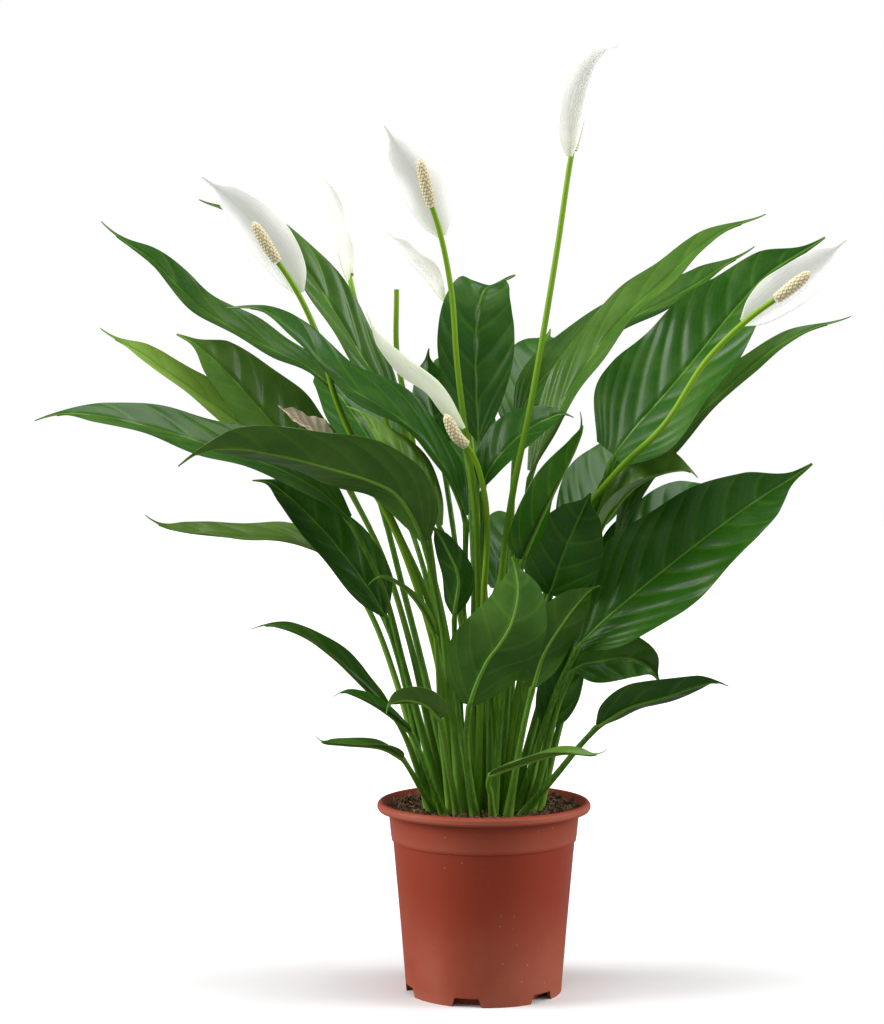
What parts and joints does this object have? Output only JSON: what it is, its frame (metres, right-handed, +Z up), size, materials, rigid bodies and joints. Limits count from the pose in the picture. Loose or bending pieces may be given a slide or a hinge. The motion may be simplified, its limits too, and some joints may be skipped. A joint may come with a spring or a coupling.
{
  "type": "potted peace lily",
  "caption": "Potted peace lily: arching glossy leaves and white hooded flowers on tall stalks, rising from soil in a round tapered plastic nursery pot.",
  "frame": {"origin": "centre of the pot's underside", "axes": "+Z up; -Y is the front, towards the viewer; +X to the viewer's right"},
  "size_m": [0.6391, 0.389, 0.7439],
  "materials": {
    "pot": "terracotta-brown moulded plastic, satin",
    "soil": "dark peat and coir crumbs, dull",
    "leaf": "waxy green blade, glossy above and duller grey-green below",
    "flower_stalk": "yellow-green stalk with a cream spadix, satin",
    "spathe": "thin white hood with faint green veins",
    "withered_spathe": "thin pinkish-beige dry hood"
  },
  "bodies": {
    "root": {"flower_stalk_back": "flower_stalk", "flower_stalk_bare": "flower_stalk", "flower_stalk_greenish": "flower_stalk", "flower_stalk_left": "flower_stalk", "flower_stalk_left_side": "flower_stalk", "flower_stalk_right": "flower_stalk", "flower_stalk_tallest": "flower_stalk", "flower_stalk_upright": "flower_stalk", "flower_stalk_withered": "flower_stalk", "leaf_back_left": "leaf", "leaf_back_low": "leaf", "leaf_back_low_left": "leaf", "leaf_back_low_right": "leaf", "leaf_back_right": "leaf", "leaf_back_tall": "leaf", "leaf_back_upright": "leaf", "leaf_behind_right": "leaf", "leaf_big_left": "leaf", "leaf_big_right": "leaf", "leaf_broad_right": "leaf", "leaf_centre": "leaf", "leaf_centre_back": "leaf", "leaf_centre_dark": "leaf", "leaf_dark_left": "leaf", "leaf_dark_low": "leaf", "leaf_dark_right": "leaf", "leaf_far_left": "leaf", "leaf_folded_right": "leaf", "leaf_front_left": "leaf", "leaf_front_low": "leaf", "leaf_front_middle": "leaf", "leaf_front_right": "leaf", "leaf_front_small": "leaf", "leaf_long_arch": "leaf", "leaf_low_left": "leaf", "leaf_low_right": "leaf", "leaf_lowest_left": "leaf", "leaf_narrow_front": "leaf", "leaf_pale_left": "leaf", "leaf_pale_ribbed": "leaf", "leaf_side_left": "leaf", "leaf_slender_left": "leaf", "leaf_slender_right": "leaf", "leaf_small_left": "leaf", "leaf_small_right": "leaf", "leaf_tall_back_right": "leaf", "leaf_tall_right": "leaf", "leaf_twisted": "leaf", "leaf_upper_left": "leaf", "leaf_wide_left": "leaf", "pot": "pot", "soil": "soil", "spathe_back": "spathe", "spathe_greenish": "spathe", "spathe_left": "spathe", "spathe_left_side": "spathe", "spathe_right": "spathe", "spathe_tallest": "spathe", "spathe_upright": "spathe", "spathe_withered": "withered_spathe"}
  },
  "joints": []
}
